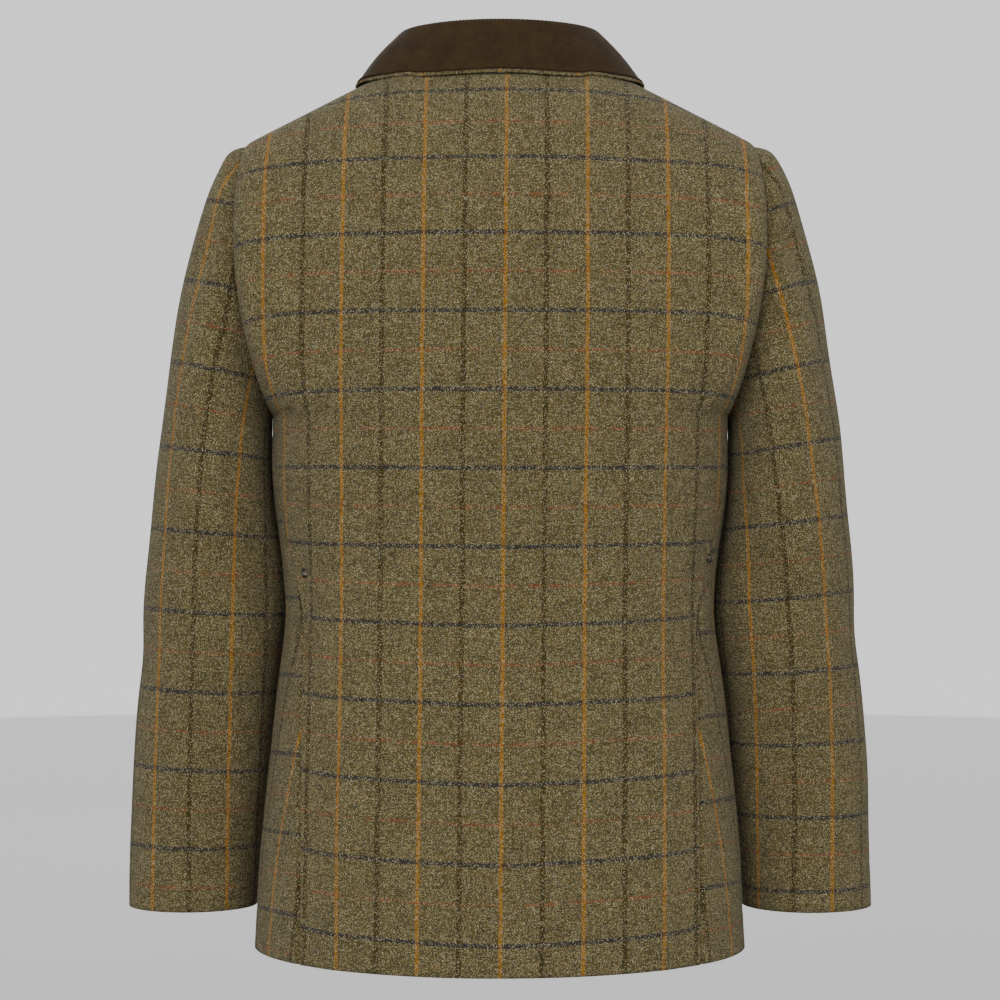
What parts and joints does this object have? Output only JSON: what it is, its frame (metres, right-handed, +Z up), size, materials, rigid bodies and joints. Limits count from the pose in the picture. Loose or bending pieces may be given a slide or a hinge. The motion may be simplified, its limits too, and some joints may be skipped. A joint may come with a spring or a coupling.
{
  "type": "tweed shooting jacket",
  "caption": "Checked tweed shooting jacket with a moleskin collar, long sleeves, stud front and side vents, filled out hollow as if worn.",
  "frame": {"origin": "middle of the neck opening, level with the inner ends of the shoulder seams, where a wearer's neck holds the jacket up", "axes": "+Z up, +Y out of the back, +X towards the wearer's left"},
  "size_m": [0.664, 0.3, 0.8002],
  "materials": {
    "tweed": "woven wool tweed, olive ground with a window check",
    "moleskin": "brushed cotton moleskin, soft nap",
    "stud_metal": "dark antique metal"
  },
  "bodies": {
    "root": {"back": "tweed", "front_left": "tweed", "front_right": "tweed", "sleeve_left": "tweed", "sleeve_right": "tweed", "collar_stand": "tweed", "collar_under": "tweed", "collar_fall": "moleskin", "stud_side_right": "stud_metal", "stud_side_left": "stud_metal", "stud_side_left_front": "stud_metal", "stud_side_right_front": "stud_metal", "stud_front_1": "stud_metal", "stud_front_2": "stud_metal", "stud_front_3": "stud_metal", "stud_front_4": "stud_metal", "stud_front_5": "stud_metal"}
  },
  "joints": []
}
